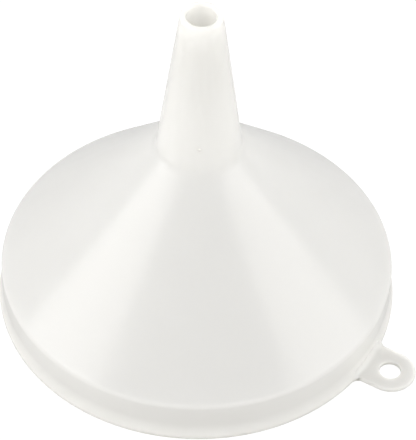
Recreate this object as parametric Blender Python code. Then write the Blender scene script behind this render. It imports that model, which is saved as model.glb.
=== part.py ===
"""Plastic filling funnel, standing on its wide mouth with the spout pointing up.

The real funnel is one moulding. Here it is parted at its form lines into a lip, a band, a cone, a spout
and a hanging tab, which meet across narrow seams. Metres, +Z up, with the tab along +X. The origin lies
on the ground under the middle of the whole outline, tab included.
"""

import math

import bmesh
import bpy
from mathutils import Vector

MM = 0.001

# Mouth: a flared lip on which the funnel stands, below an upright band
BAND_DIAMETER = 147.4 * MM
BAND_WALL = 1.6 * MM
BAND_HEIGHT = 9.5 * MM
LIP_OVERHANG = 1.3 * MM
LIP_EDGE_HEIGHT = 1.5 * MM
LIP_CORNER = 0.5 * MM
FLARE_HEIGHT = 5.5 * MM

# Cone, measured between the sharp corners that its fillets round off
CONE_HEIGHT = 59.9 * MM
CONE_WALL = 1.6 * MM
SHOULDER_RADIUS = 3.2 * MM
SHOULDER_RADIUS_INSIDE = 1.6 * MM
ROOT_FILLET = 2.5 * MM
ROOT_RADIUS_INSIDE = 4.0 * MM

# Spout
SPOUT_LENGTH = 61.2 * MM
SPOUT_ROOT_DIAMETER = 31.2 * MM
SPOUT_TIP_DIAMETER = 15.0 * MM
SPOUT_WALL = 2.2 * MM
TIP_CORNER = 0.8 * MM

# Hanging tab, flat on the ground beside the lip
TAB_WIDTH = 18.8 * MM
TAB_THICKNESS = 1.9 * MM
TAB_ROOT_FILLET = 2.8 * MM
HOLE_DIAMETER = 8.0 * MM
HOLE_FROM_LIP = 8.7 * MM

# Seams between the sections, and how finely round shapes are cut
SEAM = 0.3 * MM
TURN_STEPS = 96
ARC_STEPS = 3
TAB_END_STEPS = 24
HOLE_STEPS = 32
SMOOTH_BELOW = math.radians(30)

# Milky white plastic
PLASTIC_COLOUR = (0.84, 0.83, 0.80, 1.0)
PLASTIC_ROUGHNESS = 0.40

# Places that follow from the sizes
BAND_RADIUS = BAND_DIAMETER / 2
LIP_RADIUS = BAND_RADIUS + LIP_OVERHANG
SPOUT_ROOT_RADIUS = SPOUT_ROOT_DIAMETER / 2
SPOUT_TIP_RADIUS = SPOUT_TIP_DIAMETER / 2
LIP_SEAM_HEIGHT = LIP_EDGE_HEIGHT + FLARE_HEIGHT
SHOULDER_HEIGHT = LIP_SEAM_HEIGHT + BAND_HEIGHT
ROOT_HEIGHT = SHOULDER_HEIGHT + CONE_HEIGHT
TIP_HEIGHT = ROOT_HEIGHT + SPOUT_LENGTH
HOLE_REACH = LIP_RADIUS + HOLE_FROM_LIP
TAB_REACH = HOLE_REACH + TAB_WIDTH / 2
AXIS_X = (LIP_RADIUS - TAB_REACH) / 2


def clear_scene():
    """Removes every object that the scene starts with."""
    for obj in list(bpy.data.objects):
        bpy.data.objects.remove(obj, do_unlink=True)


def plastic(name):
    """Milky white plastic for one section of the moulding."""
    material = bpy.data.materials.new(name)
    material.use_nodes = True
    shader = material.node_tree.nodes["Principled BSDF"]
    shader.inputs["Base Color"].default_value = PLASTIC_COLOUR
    shader.inputs["Roughness"].default_value = PLASTIC_ROUGHNESS
    shader.inputs["Metallic"].default_value = 0.0
    material.diffuse_color = PLASTIC_COLOUR
    return material


def add_section(name, bm, axis):
    """Turns a bmesh into a named, smooth-shaded section of the funnel, placed on its axis."""
    bmesh.ops.recalc_face_normals(bm, faces=bm.faces)
    mesh = bpy.data.meshes.new(name)
    bm.to_mesh(mesh)
    bm.free()
    mesh.shade_smooth()
    mesh.set_sharp_from_angle(angle=SMOOTH_BELOW)
    mesh.materials.append(plastic(f"{name} plastic"))
    section = bpy.data.objects.new(name, mesh)
    bpy.context.scene.collection.objects.link(section)
    section.parent = axis
    return section


def arc(centre, radius, first, last, steps):
    """Points on an arc, from the first angle to the last."""
    angles = [first + (last - first) * step / steps for step in range(steps + 1)]
    return [centre + radius * Vector((math.cos(angle), math.sin(angle))) for angle in angles]


def corner_arc(before, corner, after, radius):
    """Points of a rounded corner: an arc that touches both straight sides."""
    back = (before - corner).normalized()
    onward = (after - corner).normalized()
    half = back.angle(onward) / 2
    centre = corner + (back + onward).normalized() * radius / math.sin(half)
    start = corner + back * radius / math.tan(half) - centre
    end = corner + onward * radius / math.tan(half) - centre
    first = math.atan2(start.y, start.x)
    sweep = math.atan2(start.x * end.y - start.y * end.x, start.dot(end))
    return arc(centre, radius, first, first + sweep, ARC_STEPS)


def inner_side(start, end, wall):
    """A straight wall's inner side, from the outer side that climbs from start to end."""
    along = (end - start).normalized()
    inward = Vector((-along.y, along.x)) * wall
    return start + inward, end + inward


def crossing(first, second):
    """The point where two straight lines meet, each given by two of its points."""
    along = first[1] - first[0]
    across = second[1] - second[0]
    gap = second[0] - first[0]
    share = gap.cross(across) / along.cross(across)
    return first[0] + along * share


def outer_profile():
    """The outside of the turned wall as (radius, height) points, climbing from the mouth to the tip.

    Also gives the heights of the seams under the shoulder and over the spout's root.
    """
    mouth = Vector((LIP_RADIUS, 0))
    lip_top = Vector((LIP_RADIUS, LIP_EDGE_HEIGHT))
    shoulder = Vector((BAND_RADIUS, SHOULDER_HEIGHT))
    root = Vector((SPOUT_ROOT_RADIUS, ROOT_HEIGHT))
    tip = Vector((SPOUT_TIP_RADIUS, TIP_HEIGHT))
    band_foot = Vector((BAND_RADIUS, LIP_SEAM_HEIGHT))
    flare_radius = (FLARE_HEIGHT**2 + LIP_OVERHANG**2) / (2 * LIP_OVERHANG)
    flare_centre = band_foot + Vector((flare_radius, 0))
    flare_turn = math.atan2(FLARE_HEIGHT, flare_radius - LIP_OVERHANG)
    shoulder_arc = corner_arc(band_foot, shoulder, root, SHOULDER_RADIUS)
    root_arc = corner_arc(shoulder, root, tip, ROOT_FILLET)
    points = [
        *corner_arc(Vector((0, 0)), mouth, lip_top, LIP_CORNER),
        *arc(flare_centre, flare_radius, math.pi + flare_turn, math.pi, ARC_STEPS),
        *shoulder_arc,
        *root_arc,
        *corner_arc(root, tip, Vector((0, TIP_HEIGHT)), TIP_CORNER),
    ]
    return points, shoulder_arc[0].y, root_arc[-1].y


def inner_profile():
    """The inside of the turned wall as (radius, height) points, climbing from the mouth to the tip."""
    shoulder = Vector((BAND_RADIUS, SHOULDER_HEIGHT))
    root = Vector((SPOUT_ROOT_RADIUS, ROOT_HEIGHT))
    tip = Vector((SPOUT_TIP_RADIUS, TIP_HEIGHT))
    mouth = Vector((BAND_RADIUS - BAND_WALL, 0))
    cone_side = inner_side(shoulder, root, CONE_WALL)
    spout_side = inner_side(root, tip, SPOUT_WALL)
    shoulder_inside = crossing((mouth, mouth + Vector((0, 1))), cone_side)
    root_inside = crossing(cone_side, spout_side)
    tip_inside = crossing(spout_side, (tip, tip - Vector((1, 0))))
    return [
        *corner_arc(Vector((LIP_RADIUS, 0)), mouth, shoulder_inside, LIP_CORNER),
        *corner_arc(mouth, shoulder_inside, root_inside, SHOULDER_RADIUS_INSIDE),
        *corner_arc(shoulder_inside, root_inside, tip_inside, ROOT_RADIUS_INSIDE),
        *corner_arc(root_inside, tip_inside, tip, TIP_CORNER),
    ]


def stretch(profile, low, high):
    """The part of a climbing profile between two heights, with its ends cut level."""
    points = [point for point in profile if low < point.y < high]
    for height, place in ((low, 0), (high, len(points) + 1)):
        for below, above in zip(profile, profile[1:]):
            if below.y <= height <= above.y and below.y < above.y:
                share = (height - below.y) / (above.y - below.y)
                points.insert(place, below.lerp(above, share))
                break
    return points


def turn_wall(outside, inside):
    """A closed ring of wall, turned about Z from its outer and inner sides."""
    bm = bmesh.new()
    outline = [*outside, *reversed(inside)]
    verts = [bm.verts.new((point.x, 0, point.y)) for point in outline]
    edges = [bm.edges.new(pair) for pair in zip(verts, verts[1:] + verts[:1])]
    bmesh.ops.spin(
        bm,
        geom=[*verts, *edges],
        cent=(0, 0, 0),
        axis=(0, 0, 1),
        angle=math.tau,
        steps=TURN_STEPS,
        use_merge=True,
    )
    return bm


def build_turned_sections(axis):
    """Lip, band, cone and spout: the turned wall, parted level at its seams."""
    outside, shoulder_seam, root_seam = outer_profile()
    inside = inner_profile()
    seams = (LIP_SEAM_HEIGHT, shoulder_seam, root_seam)
    lows = (0, *(seam + SEAM / 2 for seam in seams))
    highs = (*(seam - SEAM / 2 for seam in seams), TIP_HEIGHT)
    for name, low, high in zip(("rim_lip", "rim_band", "cone", "spout"), lows, highs):
        add_section(name, turn_wall(stretch(outside, low, high), stretch(inside, low, high)), axis)


def tab_outline():
    """The tab seen from above: its seat round the lip, flared roots, straight sides and round end."""
    half_width = TAB_WIDTH / 2
    seat_radius = LIP_RADIUS + SEAM
    root_out = LIP_RADIUS + TAB_ROOT_FILLET
    root_y = half_width + TAB_ROOT_FILLET
    root_centre = Vector((math.sqrt(root_out**2 - root_y**2), root_y))
    # The root's fillet runs from the seat, where its circle meets the seat's, to the straight side.
    to_axis = math.atan2(-root_centre.y, -root_centre.x)
    reach = (root_out**2 + TAB_ROOT_FILLET**2 - seat_radius**2) / (2 * root_out * TAB_ROOT_FILLET)
    meets_seat = to_axis + math.acos(reach)
    upper_root = arc(root_centre, TAB_ROOT_FILLET, meets_seat, -math.pi / 2, ARC_STEPS * 2)
    lower_root = [Vector((point.x, -point.y)) for point in reversed(upper_root)]
    end = arc(Vector((HOLE_REACH, 0)), half_width, math.pi / 2, -math.pi / 2, TAB_END_STEPS)
    seat_angle = math.atan2(upper_root[0].y, upper_root[0].x)
    seat = arc(Vector((0, 0)), seat_radius, -seat_angle, seat_angle, ARC_STEPS * 4)
    return [*upper_root, *end, *lower_root, *seat[1:-1]]


def build_tab(axis):
    """The flat lug with its hanging hole."""
    bm = bmesh.new()
    hole = arc(Vector((HOLE_REACH, 0)), HOLE_DIAMETER / 2, 0, math.tau, HOLE_STEPS)[:-1]
    rims = []
    for loop in (tab_outline(), hole):
        verts = [bm.verts.new((point.x, point.y, 0)) for point in loop]
        rims += [bm.edges.new(pair) for pair in zip(verts, verts[1:] + verts[:1])]
    bmesh.ops.triangle_fill(bm, edges=rims, use_beauty=True)
    raised = bmesh.ops.extrude_face_region(bm, geom=list(bm.faces), use_keep_orig=True)["geom"]
    lifted = [item for item in raised if isinstance(item, bmesh.types.BMVert)]
    bmesh.ops.translate(bm, verts=lifted, vec=(0, 0, TAB_THICKNESS))
    add_section("hang_tab", bm, axis)


def main():
    """Builds the funnel on an empty that stands on its axis."""
    clear_scene()
    axis = bpy.data.objects.new("funnel_axis", None)
    axis.location.x = AXIS_X
    bpy.context.scene.collection.objects.link(axis)
    build_turned_sections(axis)
    build_tab(axis)


main()
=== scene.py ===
"""Looks of a milky plastic filling funnel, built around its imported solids.

The real funnel is one moulding, and light travels inside its plastic, so it is one unbroken skin here: the
turned wall from the lip on which it stands to the tip of the spout, the hanging lug that grows out of the
lip, and the pip that the gate left on the spout. Metres, +Z up, in the frame of the solids, with the lug
along +X.
"""

import logging
import math
from dataclasses import dataclass
from enum import Enum

import bmesh
import bpy
from mathutils import Matrix, Vector


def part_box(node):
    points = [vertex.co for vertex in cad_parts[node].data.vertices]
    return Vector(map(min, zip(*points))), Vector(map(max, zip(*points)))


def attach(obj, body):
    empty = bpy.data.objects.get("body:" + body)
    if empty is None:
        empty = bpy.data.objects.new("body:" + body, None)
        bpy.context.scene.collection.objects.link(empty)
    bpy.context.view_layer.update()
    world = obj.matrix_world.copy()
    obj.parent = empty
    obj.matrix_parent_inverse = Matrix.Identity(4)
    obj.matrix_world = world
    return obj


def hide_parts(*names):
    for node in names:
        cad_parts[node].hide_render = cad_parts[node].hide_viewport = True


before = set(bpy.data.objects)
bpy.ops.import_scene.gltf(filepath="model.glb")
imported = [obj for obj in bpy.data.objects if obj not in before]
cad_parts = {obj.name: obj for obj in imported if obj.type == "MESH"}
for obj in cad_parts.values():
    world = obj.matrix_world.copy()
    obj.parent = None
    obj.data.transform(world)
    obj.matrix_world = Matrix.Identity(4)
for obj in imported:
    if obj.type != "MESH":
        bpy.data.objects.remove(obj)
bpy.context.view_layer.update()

MM = 0.001
MERGE_DISTANCE = 0.001 * MM
ROUNDING_SLACK = 1.0001
WHITE = (1.0, 1.0, 1.0)
WARM = (1.0, 0.985, 0.955)
DIFFUSE_BOUNCES = 24
ALL_BOUNCES = 32
LOG = logging.getLogger("filling_funnel")


class Ray(Enum):
    """Kinds of light path that see the studio's white background."""

    CAMERA = "Is Camera Ray"
    GLOSSY = "Is Glossy Ray"
    TRANSMISSION = "Is Transmission Ray"


class Graph:
    """Adds and joins the nodes of one material or world."""

    def __init__(self, tree: bpy.types.NodeTree) -> None:
        """Empties the tree, to start afresh.

        Args:
            tree: The node tree of a material or a world.
        """
        self.tree = tree
        tree.nodes.clear()

    def add(
        self, kind: str, inputs: dict[str | int, object] | None = None, **settings: object
    ) -> bpy.types.Node:
        """Adds one node.

        Args:
            kind: Blender's name for the node's type.
            inputs: Values for its sockets, or other nodes' sockets to join to them.
            settings: Values for its own properties.

        Returns:
            The new node.
        """
        node = self.tree.nodes.new(kind)
        for name, value in settings.items():
            setattr(node, name, value)
        for socket, value in (inputs or {}).items():
            if isinstance(value, bpy.types.NodeSocket):
                self.tree.links.new(value, node.inputs[socket])
            else:
                node.inputs[socket].default_value = value
        return node

    def math(self, operation: str, first: object, second: object) -> bpy.types.NodeSocket:
        """Adds a Math node and returns its result."""
        return self.add("ShaderNodeMath", {0: first, 1: second}, operation=operation).outputs[0]

    def mix(self, share: object, first: object, second: object) -> bpy.types.NodeSocket:
        """Adds a node that blends two colours and returns its result."""
        inputs = {"Factor": share, "A": first, "B": second}
        return self.add("ShaderNodeMix", inputs, data_type="RGBA").outputs["Result"]


def rgba(colour: tuple[float, float, float]) -> tuple[float, float, float, float]:
    """The colour with full opacity."""
    return (*colour, 1.0)


def clamp(value: float, highest: float) -> float:
    """The value, held between 0 and a highest one."""
    return min(max(value, 0.0), highest)


def eased(share: float) -> float:
    """A share from 0 to 1 that sets out and arrives slowly, so that points lie closest at both ends."""
    return (1 - math.cos(math.pi * share)) / 2


def smooth_step(share: float) -> float:
    """A climb from 0 to 1 that is level at both ends."""
    return share * share * (3 - 2 * share)


@dataclass(frozen=True)
class MilkyPlastic:
    """Milky white moulded plastic: pale, a little warm and see-through, with a satin skin.

    Its colour drifts faintly from place to place, and the melt's flow from the spout's gate leaves long,
    shallow waves down the wall, over a very fine grain. Light goes deeper into the tip and the lug than into
    the cone. Painted shade darkens the colour round the gate's pip and at the end of the spout.
    """

    colour: tuple[float, float, float] = (0.955, 0.942, 0.885)
    drift_colour: tuple[float, float, float] = (0.949, 0.936, 0.877)
    drift_scale: float = 28.0
    drift_detail: float = 3.0
    roughness_low: float = 0.22
    roughness_high: float = 0.26
    refraction: float = 1.58
    see_through: float = 1.0
    see_through_tint: tuple[float, float, float] = WHITE
    see_through_depth: float = 6.4 * MM
    deepest: float = 12.5 * MM
    deep_heights: tuple[float, float] = (98.0 * MM, 148.0 * MM)
    deep_radii: tuple[float, float] = (75.0 * MM, 80.0 * MM)
    lug_share: float = 0.52
    flow_waves: float = 7.0
    flow_length: float = 1.5
    flow_detail: float = 2.0
    flow_depth: float = 0.003 * MM
    grain_scale: float = 900.0
    grain_detail: float = 2.0
    grain_depth: float = 0.0006 * MM
    bump_strength: float = 1.0
    # Painted shade: a darker disc round the gate's pip, in place of the pip's own shade.
    gate_painted_shade: tuple[float, float, float] = (0.83, 0.81, 0.76)
    gate_shade_radii: tuple[float, float] = (0.4 * MM, 1.0 * MM)
    # Painted shade: the colour darkens over the top of the spout, in place of less light on its tip.
    tip_painted_shade: tuple[float, float, float] = (0.84, 0.825, 0.775)
    tip_shade_heights: tuple[float, float] = (134.0 * MM, 137.2 * MM)

    def material(self, axis_x: float, gate: Vector) -> bpy.types.Material:
        """Makes the plastic.

        Args:
            axis_x: Where the funnel's axis stands along X, on which the flow waves are centred.
            gate: The point at which the melt entered the mould.

        Returns:
            The material, with its patterns on Object coordinates.
        """
        material = bpy.data.materials.new("milky plastic")
        material.use_nodes = True
        graph = Graph(material.node_tree)
        place = graph.add("ShaderNodeTexCoord").outputs["Object"]
        centred = graph.add("ShaderNodeMapping", {"Vector": place, "Location": (-axis_x, 0, 0)}).outputs[0]
        flow = self.flow_noise(graph, centred)
        gloss = graph.add(
            "ShaderNodeMapRange",
            {"Value": flow, "To Min": self.roughness_low, "To Max": self.roughness_high},
        )
        shader = graph.add(
            "ShaderNodeBsdfPrincipled",
            {
                "Base Color": self.colouring(graph, place, gate),
                "Roughness": gloss.outputs["Result"],
                "Normal": self.skin(graph, place, flow),
                "IOR": self.refraction,
                "Subsurface Weight": self.see_through,
                "Subsurface Radius": self.see_through_tint,
                "Subsurface Scale": self.depth(graph, centred),
            },
        )
        graph.add("ShaderNodeOutputMaterial", {"Surface": shader.outputs["BSDF"]})
        return material

    def colouring(
        self, graph: Graph, place: bpy.types.NodeSocket, gate: Vector
    ) -> bpy.types.NodeSocket:
        """The plastic's colour: its drift, and painted shade round the gate's pip and at the spout's end.

        Args:
            graph: The material's nodes.
            place: Places on the funnel.
            gate: The point at which the melt entered the mould.

        Returns:
            The colour.
        """
        noise = {"Vector": place, "Scale": self.drift_scale, "Detail": self.drift_detail}
        drift = graph.add("ShaderNodeTexNoise", noise).outputs["Fac"]
        plain = graph.mix(drift, rgba(self.drift_colour), rgba(self.colour))
        away = graph.add("ShaderNodeVectorMath", {0: place, 1: gate}, operation="DISTANCE").outputs["Value"]
        # Painted shade: the colour darkens in a small disc round the gate's pip.
        gate_shaded = graph.mix(self.ramp(graph, away, self.gate_shade_radii), rgba(self.gate_painted_shade), plain)
        height = graph.add("ShaderNodeSeparateXYZ", {"Vector": place}).outputs["Z"]
        # Painted shade: the colour darkens towards the top of the spout.
        return graph.mix(self.ramp(graph, height, self.tip_shade_heights), gate_shaded, rgba(self.tip_painted_shade))

    def skin(
        self, graph: Graph, place: bpy.types.NodeSocket, flow: bpy.types.NodeSocket
    ) -> bpy.types.NodeSocket:
        """The surface's fine relief: the flow's waves, with the grain over them.

        Args:
            graph: The material's nodes.
            place: Places on the funnel.
            flow: The noise that makes the waves.

        Returns:
            The normal.
        """
        waves = graph.add(
            "ShaderNodeBump",
            {"Height": flow, "Distance": self.flow_depth, "Strength": self.bump_strength},
        )
        noise = {"Vector": place, "Scale": self.grain_scale, "Detail": self.grain_detail}
        relief = graph.add(
            "ShaderNodeBump",
            {
                "Height": graph.add("ShaderNodeTexNoise", noise).outputs["Fac"],
                "Distance": self.grain_depth,
                "Strength": self.bump_strength,
                "Normal": waves.outputs["Normal"],
            },
        )
        return relief.outputs["Normal"]

    @staticmethod
    def ramp(graph: Graph, value: bpy.types.NodeSocket, ends: tuple[float, float]) -> bpy.types.NodeSocket:
        """A value that climbs from 0 at the first of two places to 1 at the second."""
        climb = {"Value": value, "From Min": ends[0], "From Max": ends[1]}
        return graph.add("ShaderNodeMapRange", climb).outputs["Result"]

    @staticmethod
    def flat_and_height(
        graph: Graph, centred: bpy.types.NodeSocket
    ) -> tuple[bpy.types.NodeSocket, bpy.types.NodeSocket]:
        """Parts places into their level offset from the axis and their height.

        Args:
            graph: The material's nodes.
            centred: Places measured from the funnel's axis.

        Returns:
            The level offset and the height.
        """
        parts = graph.add("ShaderNodeSeparateXYZ", {"Vector": centred}).outputs
        flat = graph.add("ShaderNodeCombineXYZ", {"X": parts["X"], "Y": parts["Y"]}).outputs[0]
        return flat, parts["Z"]

    def depth(self, graph: Graph, centred: bpy.types.NodeSocket) -> bpy.types.NodeSocket:
        """How deep light goes into the plastic, which is deepest towards the tip and deeper in the lug.

        Args:
            graph: The material's nodes.
            centred: Places measured from the funnel's axis.

        Returns:
            The depth, in metres.
        """
        flat, height = self.flat_and_height(graph, centred)
        radius = graph.add("ShaderNodeVectorMath", {0: flat}, operation="LENGTH").outputs["Value"]
        tip = self.ramp(graph, height, self.deep_heights)
        lug = graph.math("MULTIPLY", self.ramp(graph, radius, self.deep_radii), self.lug_share)
        share = graph.math("MAXIMUM", tip, lug)
        span = {"Value": share, "To Min": self.see_through_depth, "To Max": self.deepest}
        return graph.add("ShaderNodeMapRange", span).outputs["Result"]

    def flow_noise(self, graph: Graph, centred: bpy.types.NodeSocket) -> bpy.types.NodeSocket:
        """Noise that runs in long streaks down the wall.

        Args:
            graph: The material's nodes.
            centred: Places measured from the funnel's axis.

        Returns:
            The noise, from 0 to 1.
        """
        flat, height = self.flat_and_height(graph, centred)
        bearing = graph.add("ShaderNodeVectorMath", {0: flat}, operation="NORMALIZE").outputs[0]
        sides = graph.add("ShaderNodeSeparateXYZ", {"Vector": bearing}).outputs
        rise = graph.math("MULTIPLY", height, self.flow_length)
        streaks = graph.add("ShaderNodeCombineXYZ", {"X": sides["X"], "Y": sides["Y"], "Z": rise}).outputs[0]
        noise = {"Vector": streaks, "Scale": self.flow_waves, "Detail": self.flow_detail}
        return graph.add("ShaderNodeTexNoise", noise).outputs["Fac"]


def add_object(name: str, bm: bmesh.types.BMesh) -> bpy.types.Object:
    """Puts a shape into the scene.

    Args:
        name: The object's name.
        bm: Its shape, which is used up.

    Returns:
        The new object, at the origin.
    """
    bmesh.ops.remove_doubles(bm, verts=bm.verts, dist=MERGE_DISTANCE)
    bmesh.ops.recalc_face_normals(bm, faces=bm.faces)
    mesh = bpy.data.meshes.new(name)
    bm.to_mesh(mesh)
    bm.free()
    shape = bpy.data.objects.new(name, mesh)
    bpy.context.scene.collection.objects.link(shape)
    return shape


@dataclass
class TurnedWall:
    """The whole turned wall of the funnel: lip, band, cone and spout, hollow and open at both ends."""

    axis_x: float
    lip_radius: float
    band_radius: float
    tip_height: float
    band_wall: float = 1.6 * MM
    lip_edge_height: float = 1.5 * MM
    lip_corner: float = 0.5 * MM
    flare_height: float = 5.5 * MM
    flare_edge: float = 0.8 * MM
    shoulder_height: float = 16.5 * MM
    shoulder_radius: float = 3.2 * MM
    shoulder_radius_inside: float = 1.6 * MM
    cone_wall: float = 1.6 * MM
    root_height: float = 76.4 * MM
    root_radius: float = 15.6 * MM
    root_fillet: float = 7.0 * MM
    root_radius_inside: float = 4.0 * MM
    spout_wall: float = 2.2 * MM
    tip_radius: float = 7.5 * MM
    tip_corner: float = 0.8 * MM
    turn_steps: int = 192
    arc_steps: int = 8
    run_steps: int = 16
    long_run: float = 3.0 * MM

    @classmethod
    def from_frame(cls) -> "TurnedWall":
        """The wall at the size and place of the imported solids.

        Returns:
            The wall.
        """
        lip_low, lip_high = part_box("rim_lip")
        band_low, band_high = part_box("rim_band")
        return cls(
            axis_x=(lip_low.x + lip_high.x) / 2,
            lip_radius=(lip_high.x - lip_low.x) / 2,
            band_radius=(band_high.x - band_low.x) / 2,
            tip_height=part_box("spout")[1].z,
        )

    def spout_radius(self, height: float) -> float:
        """The spout's outer radius at a height."""
        share = (height - self.root_height) / (self.tip_height - self.root_height)
        return self.root_radius + (self.tip_radius - self.root_radius) * share

    def arc(self, centre: Vector, radius: float, first: float, last: float) -> list[Vector]:
        """Points on an arc.

        Args:
            centre: The arc's centre, as radius and height.
            radius: The arc's own radius.
            first: Angle of its first point.
            last: Angle of its last point.

        Returns:
            The points, from the first to the last.
        """
        angles = [first + (last - first) * step / self.arc_steps for step in range(self.arc_steps + 1)]
        return [centre + radius * Vector((math.cos(angle), math.sin(angle))) for angle in angles]

    def corner(self, before: Vector, corner: Vector, after: Vector, radius: float) -> list[Vector]:
        """Points of a rounded corner, an arc that touches both straight sides.

        Args:
            before: A point on the side that leads to the corner.
            corner: The sharp corner.
            after: A point on the side that leads away.
            radius: The radius that rounds it.

        Returns:
            The arc's points, in the order of the sides.
        """
        back = (before - corner).normalized()
        onward = (after - corner).normalized()
        half = back.angle(onward) / 2
        centre = corner + (back + onward).normalized() * radius / math.sin(half)
        start = corner + back * radius / math.tan(half) - centre
        end = corner + onward * radius / math.tan(half) - centre
        first = math.atan2(start.y, start.x)
        sweep = math.atan2(start.x * end.y - start.y * end.x, start.dot(end))
        return self.arc(centre, radius, first, first + sweep)

    def lip_and_flare(self) -> list[Vector]:
        """The lip's outer corners and the hollow flare that leads up from them to the band.

        Returns:
            Points as radius and height, from the ground up.
        """
        mouth = Vector((self.lip_radius, 0))
        edge = Vector((self.lip_radius, self.lip_edge_height))
        overhang = self.lip_radius - self.band_radius
        radius = (self.flare_height**2 + overhang**2) / (2 * overhang)
        centre = Vector((self.band_radius + radius, self.lip_edge_height + self.flare_height))
        turn = math.atan2(self.flare_height, radius - overhang)
        leaving = edge + Vector((-math.sin(turn), math.cos(turn))) * self.flare_height
        trim = self.flare_edge * math.tan(turn / 2) / radius
        return [
            *self.corner(Vector((0, 0)), mouth, edge, self.lip_corner),
            *self.corner(mouth, edge, leaving, self.flare_edge),
            *self.arc(centre, radius, math.pi + turn - 2 * trim, math.pi),
        ]

    @staticmethod
    def inner_side(start: Vector, end: Vector, wall: float) -> tuple[Vector, Vector]:
        """The inner side of a straight wall.

        Args:
            start: The lower end of its outer side, as radius and height.
            end: The upper end of its outer side.
            wall: Its thickness.

        Returns:
            The points of the inner side opposite start and end.
        """
        along = (end - start).normalized()
        inward = Vector((-along.y, along.x)) * wall
        return start + inward, end + inward

    @staticmethod
    def crossing(first: tuple[Vector, Vector], second: tuple[Vector, Vector]) -> Vector:
        """The point where two straight lines meet.

        Args:
            first: Two points of one line.
            second: Two points of the other.

        Returns:
            The point.
        """
        along = first[1] - first[0]
        across = second[1] - second[0]
        share = (second[0] - first[0]).cross(across) / along.cross(across)
        return first[0] + along * share

    def profile(self) -> list[Vector]:
        """The wall's closed section, up its outside and down its inside.

        Returns:
            Points as radius and height.
        """
        mouth = Vector((self.lip_radius, 0))
        band_foot = Vector((self.band_radius, self.lip_edge_height + self.flare_height))
        shoulder = Vector((self.band_radius, self.shoulder_height))
        root = Vector((self.root_radius, self.root_height))
        tip = Vector((self.tip_radius, self.tip_height))
        mouth_inside = Vector((self.band_radius - self.band_wall, 0))
        cone_inside = self.inner_side(shoulder, root, self.cone_wall)
        spout_inside = self.inner_side(root, tip, self.spout_wall)
        shoulder_inside = self.crossing((mouth_inside, mouth_inside + Vector((0, 1))), cone_inside)
        root_inside = self.crossing(cone_inside, spout_inside)
        tip_inside = self.crossing(spout_inside, (tip, tip - Vector((1, 0))))
        return [
            *self.lip_and_flare(),
            *self.corner(band_foot, shoulder, root, self.shoulder_radius),
            *self.corner(shoulder, root, tip, self.root_fillet),
            *self.corner(root, tip, tip_inside, self.tip_corner),
            *self.corner(tip, tip_inside, root_inside, self.tip_corner),
            *self.corner(tip_inside, root_inside, shoulder_inside, self.root_radius_inside),
            *self.corner(root_inside, shoulder_inside, mouth_inside, self.shoulder_radius_inside),
            *self.corner(shoulder_inside, mouth_inside, mouth, self.lip_corner),
        ]

    def fine_profile(self) -> list[Vector]:
        """The profile with its long straight runs cut up, most finely at their ends, so they shade flat.

        Returns:
            Points as radius and height.
        """
        sharp = self.profile()
        shares = [eased(step / self.run_steps) for step in range(1, self.run_steps)]
        points = []
        for here, there in zip(sharp, sharp[1:] + sharp[:1]):
            points.append(here)
            if (there - here).length > self.long_run:
                points += [here.lerp(there, share) for share in shares]
        return points

    def shape(self) -> bmesh.types.BMesh:
        """Turns the wall about the funnel's axis.

        Returns:
            The closed shape.
        """
        bm = bmesh.new()
        verts = [bm.verts.new((self.axis_x + point.x, 0, point.y)) for point in self.fine_profile()]
        edges = [bm.edges.new(pair) for pair in zip(verts, verts[1:] + verts[:1])]
        bmesh.ops.spin(
            bm,
            geom=[*verts, *edges],
            cent=(self.axis_x, 0, 0),
            axis=(0, 0, 1),
            angle=math.tau,
            steps=self.turn_steps,
            use_merge=True,
        )
        return bm


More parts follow.
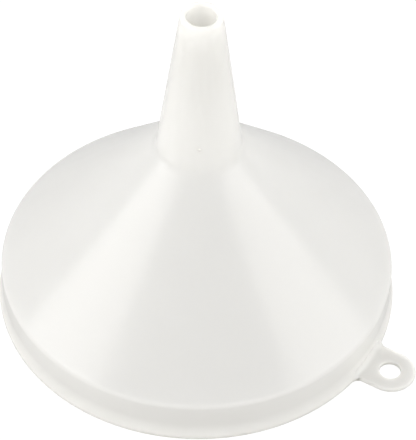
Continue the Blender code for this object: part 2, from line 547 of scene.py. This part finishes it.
@dataclass
class HangingLug:
    """The flat lug with its hanging hole, round at its end and edges, where it grows out of the lip."""

    hole_x: float
    hole_reach: float
    thickness: float
    lip_radius: float
    half_width: float = 9.4 * MM
    hole_radius: float = 4.0 * MM
    root_fillet: float = 2.8 * MM
    fillet_share: float = 0.95
    web_radius: float = 2.0 * MM
    web_reach: float = 1.4 * MM
    web_fade: float = 3.0 * MM
    seat_depth: float = 2.0 * MM
    seat_lift: float = 0.3
    edge_round: float = 0.85 * MM
    hole_round: float = 0.5 * MM
    round_steps: int = 256
    ring_cuts: int = 17
    shortest_spoke: float = 1.0 * MM
    outline_steps: int = 40

    @classmethod
    def from_frame(cls, wall: TurnedWall) -> "HangingLug":
        """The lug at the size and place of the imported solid.

        Args:
            wall: The wall that it grows out of.

        Returns:
            The lug.
        """
        low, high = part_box("hang_tab")
        hole_x = high.x - cls.half_width
        return cls(
            hole_x=hole_x,
            hole_reach=hole_x - wall.axis_x,
            thickness=high.z - low.z,
            lip_radius=wall.lip_radius,
        )

    @property
    def root_centre(self) -> Vector:
        """The centre of the fillet at one side of the root, from the hole's centre."""
        y = self.half_width + self.root_fillet
        return Vector((math.sqrt((self.lip_radius + self.root_fillet) ** 2 - y**2) - self.hole_reach, y))

    def half_width_at(self, x: float) -> float:
        """Half of the lug's width at a place along it, flared where its fillets run into the lip."""
        into = clamp(self.root_centre.x - x, self.root_fillet * self.fillet_share)
        return self.root_centre.y - math.sqrt(self.root_fillet**2 - into**2)

    def half_outline(self) -> list[Vector]:
        """One half of the lug's outline, from its round end along a side to the middle of its seat.

        Returns:
            Points from the hole's centre.
        """
        steps = self.outline_steps
        seat_x = self.lip_radius - self.seat_depth - self.hole_reach
        turns = [math.pi / 2 * step / steps for step in range(steps)]
        end = [self.half_width * Vector((math.cos(turn), math.sin(turn))) for turn in turns]
        xs = [seat_x * step / steps for step in range(steps + 1)]
        side = [Vector((x, self.half_width_at(x))) for x in xs]
        return [*end, *side, Vector((seat_x, 0))]

    @staticmethod
    def along(points: list[Vector], share: float) -> Vector:
        """The point at a share of the way round the whole outline.

        Args:
            points: One half of the outline, from the lug's far end.
            share: From 0 to 1, anticlockwise from the far end.

        Returns:
            The point, from the hole's centre.
        """
        lengths = [(there - here).length for here, there in zip(points, points[1:])]
        rest = sum(lengths) * (1 - abs(2 * share - 1))
        for here, there, length in zip(points, points[1:], lengths):
            if rest <= length * ROUNDING_SLACK:
                break
            rest -= length
        point = here.lerp(there, min(rest / length, 1.0))
        return point if share < 0.5 else Vector((point.x, -point.y))

    def plate(self, bm: bmesh.types.BMesh) -> None:
        """Lays out the flat lug as rings between its hole and its outline, closest together at both.

        Args:
            bm: An empty shape, to be filled.
        """
        for radius in (self.hole_radius, self.half_width):
            bmesh.ops.create_circle(bm, segments=self.round_steps, radius=radius)
        bmesh.ops.bridge_loops(bm, edges=list(bm.edges))
        spokes = []
        for edge in bm.edges:
            inner, outer = edge.verts
            if abs(inner.co.length - outer.co.length) > self.shortest_spoke:
                spokes.append(edge)
        bmesh.ops.subdivide_edges(bm, edges=spokes, cuts=self.ring_cuts, use_grid_fill=True)
        outline = self.half_outline()
        for vert in bm.verts:
            angle = math.atan2(vert.co.y, vert.co.x) % math.tau
            across = (vert.co.length - self.hole_radius) / (self.half_width - self.hole_radius)
            hole_point = self.hole_radius * Vector((math.cos(angle), math.sin(angle)))
            spaced = eased(clamp(across, 1.0))
            vert.co.xy = hole_point.lerp(self.along(outline, angle / math.tau), spaced)

    @staticmethod
    def rounded(depth: float, radius: float) -> float:
        """How far a rounded edge lies below the face beside it, at a depth in from the edge."""
        into = radius - clamp(depth, radius)
        return radius - math.sqrt(radius**2 - into**2)

    def soften(self, bm: bmesh.types.BMesh) -> None:
        """Rounds the edges of the lug and its hole, and sweeps its upper face up the wall at its root.

        Args:
            bm: The flat lug, with both of its faces.
        """
        for vert in bm.verts:
            place = vert.co.xy
            from_axis = math.hypot(self.hole_reach + place.x, place.y)
            side = self.half_width_at(place.x) - abs(place.y)
            edge = self.half_width - place.length if place.x > 0 else side
            fall = self.rounded(edge, self.edge_round)
            fall = max(fall, self.rounded(place.length - self.hole_radius, self.hole_round))
            if vert.co.z < self.thickness / 2:
                vert.co.z = max(fall, (self.lip_radius - from_axis) * self.seat_lift)
                continue
            into = clamp(self.lip_radius + self.web_reach - from_axis, self.web_radius)
            share = clamp(edge / self.web_fade, 1.0)
            rise = self.web_radius - math.sqrt(self.web_radius**2 - into**2)
            vert.co.z += rise * smooth_step(share) - fall

    def shape(self) -> bmesh.types.BMesh:
        """Models the lug, with its seat sunk into the wall.

        Returns:
            The closed shape.
        """
        bm = bmesh.new()
        self.plate(bm)
        raised = bmesh.ops.extrude_face_region(bm, geom=list(bm.faces), use_keep_orig=True)["geom"]
        lifted = [item for item in raised if isinstance(item, bmesh.types.BMVert)]
        bmesh.ops.translate(bm, verts=lifted, vec=(0, 0, self.thickness))
        self.soften(bm)
        bmesh.ops.translate(bm, verts=bm.verts, vec=(self.hole_x, 0, 0))
        return bm


@dataclass
class GateMark:
    """The small pip on the spout where the melt entered the mould."""

    wall: TurnedWall
    bearing: float
    height: float = 87.0 * MM
    radius: float = 0.6 * MM
    stand: float = 0.25 * MM
    turn_steps: int = 24
    rise_steps: int = 12

    @property
    def place(self) -> Vector:
        """The point on the spout where the mark sits."""
        out = Vector((math.cos(self.bearing), math.sin(self.bearing), 0))
        return out * self.wall.spout_radius(self.height) + Vector((self.wall.axis_x, 0, self.height))

    def shape(self) -> bmesh.types.BMesh:
        """Models the pip, half sunk into the spout.

        Returns:
            The closed shape.
        """
        bm = bmesh.new()
        bmesh.ops.create_uvsphere(
            bm, u_segments=self.turn_steps, v_segments=self.rise_steps, radius=self.radius
        )
        bmesh.ops.scale(bm, verts=bm.verts, vec=(self.stand / self.radius, 1, 1))
        bmesh.ops.translate(bm, verts=bm.verts, vec=(self.wall.spout_radius(self.height), 0, self.height))
        bmesh.ops.rotate(bm, verts=bm.verts, cent=(0, 0, 0), matrix=Matrix.Rotation(self.bearing, 3, "Z"))
        bmesh.ops.translate(bm, verts=bm.verts, vec=(self.wall.axis_x, 0, 0))
        return bm


@dataclass
class Moulding:
    """The whole funnel: its wall, lug and gate mark grown together into one skin."""

    wall: TurnedWall
    lug: HangingLug
    gate: GateMark
    smooth_below: float = math.radians(40)

    def join(self, body: bpy.types.Object, others: list[bpy.types.Object]) -> None:
        """Grows other shapes into the body and takes them out of the scene.

        Args:
            body: The shape that keeps its place.
            others: The shapes that run into it.
        """
        for other in others:
            joint = body.modifiers.new(f"join {other.name}", "BOOLEAN")
            joint.operation = "UNION"
            joint.solver = "MANIFOLD"
            joint.object = other
        joined = bpy.data.meshes.new_from_object(body.evaluated_get(bpy.context.evaluated_depsgraph_get()))
        body.modifiers.clear()
        body.data = joined
        for other in others:
            bpy.data.objects.remove(other, do_unlink=True)

    def build(self, plastic: bpy.types.Material) -> bpy.types.Object:
        """Makes the funnel and dresses it.

        Args:
            plastic: Its one material.

        Returns:
            The finished piece.
        """
        funnel = add_object("funnel_moulding", self.wall.shape())
        self.join(funnel, [add_object("lug", self.lug.shape()), add_object("gate mark", self.gate.shape())])
        funnel.data.name = funnel.name
        funnel.data.shade_smooth()
        funnel.data.set_sharp_from_angle(angle=self.smooth_below)
        funnel.data.materials.clear()
        funnel.data.materials.append(plastic)
        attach(funnel, "root")
        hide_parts("spout", "cone", "rim_band", "rim_lip", "hang_tab")
        return funnel


@dataclass
class PhotoCamera:
    """The camera, where the photograph was taken from."""

    axis_x: float
    bearing: float = math.radians(-59.9)
    ground_distance: float = 606.2 * MM
    height: float = 675.0 * MM
    down: float = math.radians(46.493)
    aside: float = math.radians(0.364)
    roll: float = math.radians(1.406)
    lens: float = 193.72
    sensor: float = 36.0
    nearest: float = 10.0 * MM

    def build(self) -> bpy.types.Object:
        """Makes the camera and hands it to the scene.

        Returns:
            The camera.
        """
        data = bpy.data.cameras.new("photo camera")
        data.lens = self.lens
        data.sensor_width = self.sensor
        data.clip_start = self.nearest
        camera = bpy.data.objects.new("photo camera", data)
        heading = Matrix.Rotation(self.bearing + math.pi / 2 - self.aside, 4, "Z")
        tilt = Matrix.Rotation(math.pi / 2 - self.down, 4, "X")
        stand = Vector((math.cos(self.bearing), math.sin(self.bearing), 0)) * self.ground_distance
        place = Matrix.Translation(stand + Vector((self.axis_x, 0, self.height)))
        camera.matrix_world = place @ heading @ tilt @ Matrix.Rotation(self.roll, 4, "Z")
        bpy.context.scene.collection.objects.link(camera)
        bpy.context.scene.camera = camera
        return camera


@dataclass
class Softbox:
    """A square-cornered studio lamp that faces the funnel."""

    name: str
    aside: float
    elevation: float
    distance: float
    width: float
    height: float
    brightness: float
    colour: tuple[float, float, float] = WARM
    mirrored: bool = True

    def build(self, target: Vector, front: float) -> bpy.types.Object:
        """Makes the lamp.

        Args:
            target: The point that it faces.
            front: The camera's bearing, from which the lamp stands aside.

        Returns:
            The lamp.
        """
        data = bpy.data.lights.new(self.name, "AREA")
        data.shape = "RECTANGLE"
        data.size = self.width
        data.size_y = self.height
        data.energy = self.brightness * math.pi * self.width * self.height
        data.color = self.colour
        lamp = bpy.data.objects.new(self.name, data)
        lamp.visible_glossy = self.mirrored
        bearing = front + math.radians(self.aside)
        level = math.cos(math.radians(self.elevation))
        towards = Vector(
            (math.cos(bearing) * level, math.sin(bearing) * level, math.sin(math.radians(self.elevation)))
        )
        lamp.matrix_world = Matrix.Translation(target + towards * self.distance) @ (
            towards.to_track_quat("Z", "Y").to_matrix().to_4x4()
        )
        bpy.context.scene.collection.objects.link(lamp)
        return lamp


LAMPS = (
    Softbox(
        "left softbox", aside=-73.0, elevation=25.0, distance=0.90, width=0.70, height=0.64, brightness=2.50
    ),
    Softbox(
        "right softbox", aside=76.0, elevation=26.0, distance=0.90, width=0.72, height=0.60, brightness=2.00
    ),
    Softbox(
        "back softbox",
        aside=172.0,
        elevation=26.0,
        distance=1.20,
        width=1.45,
        height=0.70,
        brightness=1.75,
        mirrored=False,
    ),
    Softbox(
        "front softbox",
        aside=0.0,
        elevation=55.0,
        distance=1.20,
        width=0.90,
        height=0.60,
        brightness=1.35,
        mirrored=False,
    ),
)


@dataclass
class Studio:
    """A white room with a pale floor and soft lamps round the funnel."""

    camera: PhotoCamera
    room_horizon: float = 1.21
    room_zenith: float = 0.32
    room_white: float = 1.0
    room_gloss: float = 1.0
    floor_half_size: float = 1.5
    floor_drop: float = 0.2 * MM
    floor_colour: tuple[float, float, float] = (0.78, 0.765, 0.735)
    floor_gloss: float = 0.58
    shadow_share: float = 0.12
    white_share: float = 0.93
    lamp_target: float = 50.0 * MM

    @staticmethod
    def mirrored(graph: Graph, path: bpy.types.Node) -> bpy.types.NodeSocket:
        """A value of 1 for what mirrors and glass show, and 0 for all else."""
        return graph.math("MAXIMUM", path.outputs[Ray.GLOSSY.value], path.outputs[Ray.TRANSMISSION.value])

    def build_room(self) -> None:
        """Makes the world: white to look at and in reflections, and a softer light on the funnel."""
        world = bpy.data.worlds.new("white room")
        world.use_nodes = True
        graph = Graph(world.node_tree)
        path = graph.add("ShaderNodeLightPath")
        way = graph.add("ShaderNodeTexCoord").outputs["Generated"]
        height = graph.add("ShaderNodeSeparateXYZ", {"Vector": way}).outputs["Z"]
        level = graph.add(
            "ShaderNodeMapRange", {"Value": height, "To Min": self.room_horizon, "To Max": self.room_zenith}
        )
        light, gloss, white = (
            graph.add("ShaderNodeBackground", {"Color": rgba(WHITE), "Strength": strength}).outputs[0]
            for strength in (level.outputs["Result"], self.room_gloss, self.room_white)
        )
        lit = graph.add("ShaderNodeMixShader", {0: self.mirrored(graph, path), 1: light, 2: gloss})
        seen = graph.add(
            "ShaderNodeMixShader", {0: path.outputs[Ray.CAMERA.value], 1: lit.outputs[0], 2: white}
        )
        graph.add("ShaderNodeOutputWorld", {"Surface": seen.outputs[0]})
        bpy.context.scene.world = world

    def build_floor(self) -> bpy.types.Object:
        """Makes the floor: pale to the funnel that it lights, and close to white for the camera.

        Returns:
            The floor.
        """
        material = bpy.data.materials.new("pale floor")
        material.use_nodes = True
        graph = Graph(material.node_tree)
        path = graph.add("ShaderNodeLightPath")
        plain = graph.add("ShaderNodeBsdfDiffuse", {"Color": rgba(self.floor_colour)}).outputs[0]
        gloss = graph.add("ShaderNodeEmission", {"Strength": self.floor_gloss}).outputs[0]
        shadowed = graph.add("ShaderNodeBsdfDiffuse", {"Color": rgba((self.shadow_share,) * 3)}).outputs[0]
        glow = graph.add("ShaderNodeEmission", {"Strength": self.white_share}).outputs[0]
        white = graph.add("ShaderNodeAddShader", {0: shadowed, 1: glow}).outputs[0]
        lit = graph.add("ShaderNodeMixShader", {0: self.mirrored(graph, path), 1: plain, 2: gloss}).outputs[0]
        seen = graph.add("ShaderNodeMixShader", {0: path.outputs[Ray.CAMERA.value], 1: lit, 2: white})
        graph.add("ShaderNodeOutputMaterial", {"Surface": seen.outputs[0]})
        bm = bmesh.new()
        bmesh.ops.create_grid(bm, x_segments=1, y_segments=1, size=self.floor_half_size)
        bmesh.ops.translate(bm, verts=bm.verts, vec=(0, 0, -self.floor_drop))
        floor = add_object("floor", bm)
        floor.data.materials.append(material)
        return floor

    def build(self) -> None:
        """Makes the room, floor and lamps."""
        self.build_room()
        self.build_floor()
        target = Vector((self.camera.axis_x, 0, self.lamp_target))
        for lamp in LAMPS:
            lamp.build(target, self.camera.bearing)


def main() -> None:
    """Builds the funnel, its studio and the camera, and reports each piece."""
    logging.basicConfig(level=logging.INFO, format="%(message)s")
    wall = TurnedWall.from_frame()
    camera = PhotoCamera(axis_x=wall.axis_x)
    gate = GateMark(wall=wall, bearing=camera.bearing)
    plastic = MilkyPlastic().material(wall.axis_x, gate.place)
    funnel = Moulding(wall=wall, lug=HangingLug.from_frame(wall), gate=gate).build(plastic)
    LOG.info("%s: %d faces", funnel.name, len(funnel.data.polygons))
    camera.build()
    Studio(camera=camera).build()
    bpy.context.scene.view_settings.view_transform = "Standard"
    bpy.context.scene.cycles.diffuse_bounces = DIFFUSE_BOUNCES
    bpy.context.scene.cycles.max_bounces = ALL_BOUNCES


if __name__ == "__main__":
    main()
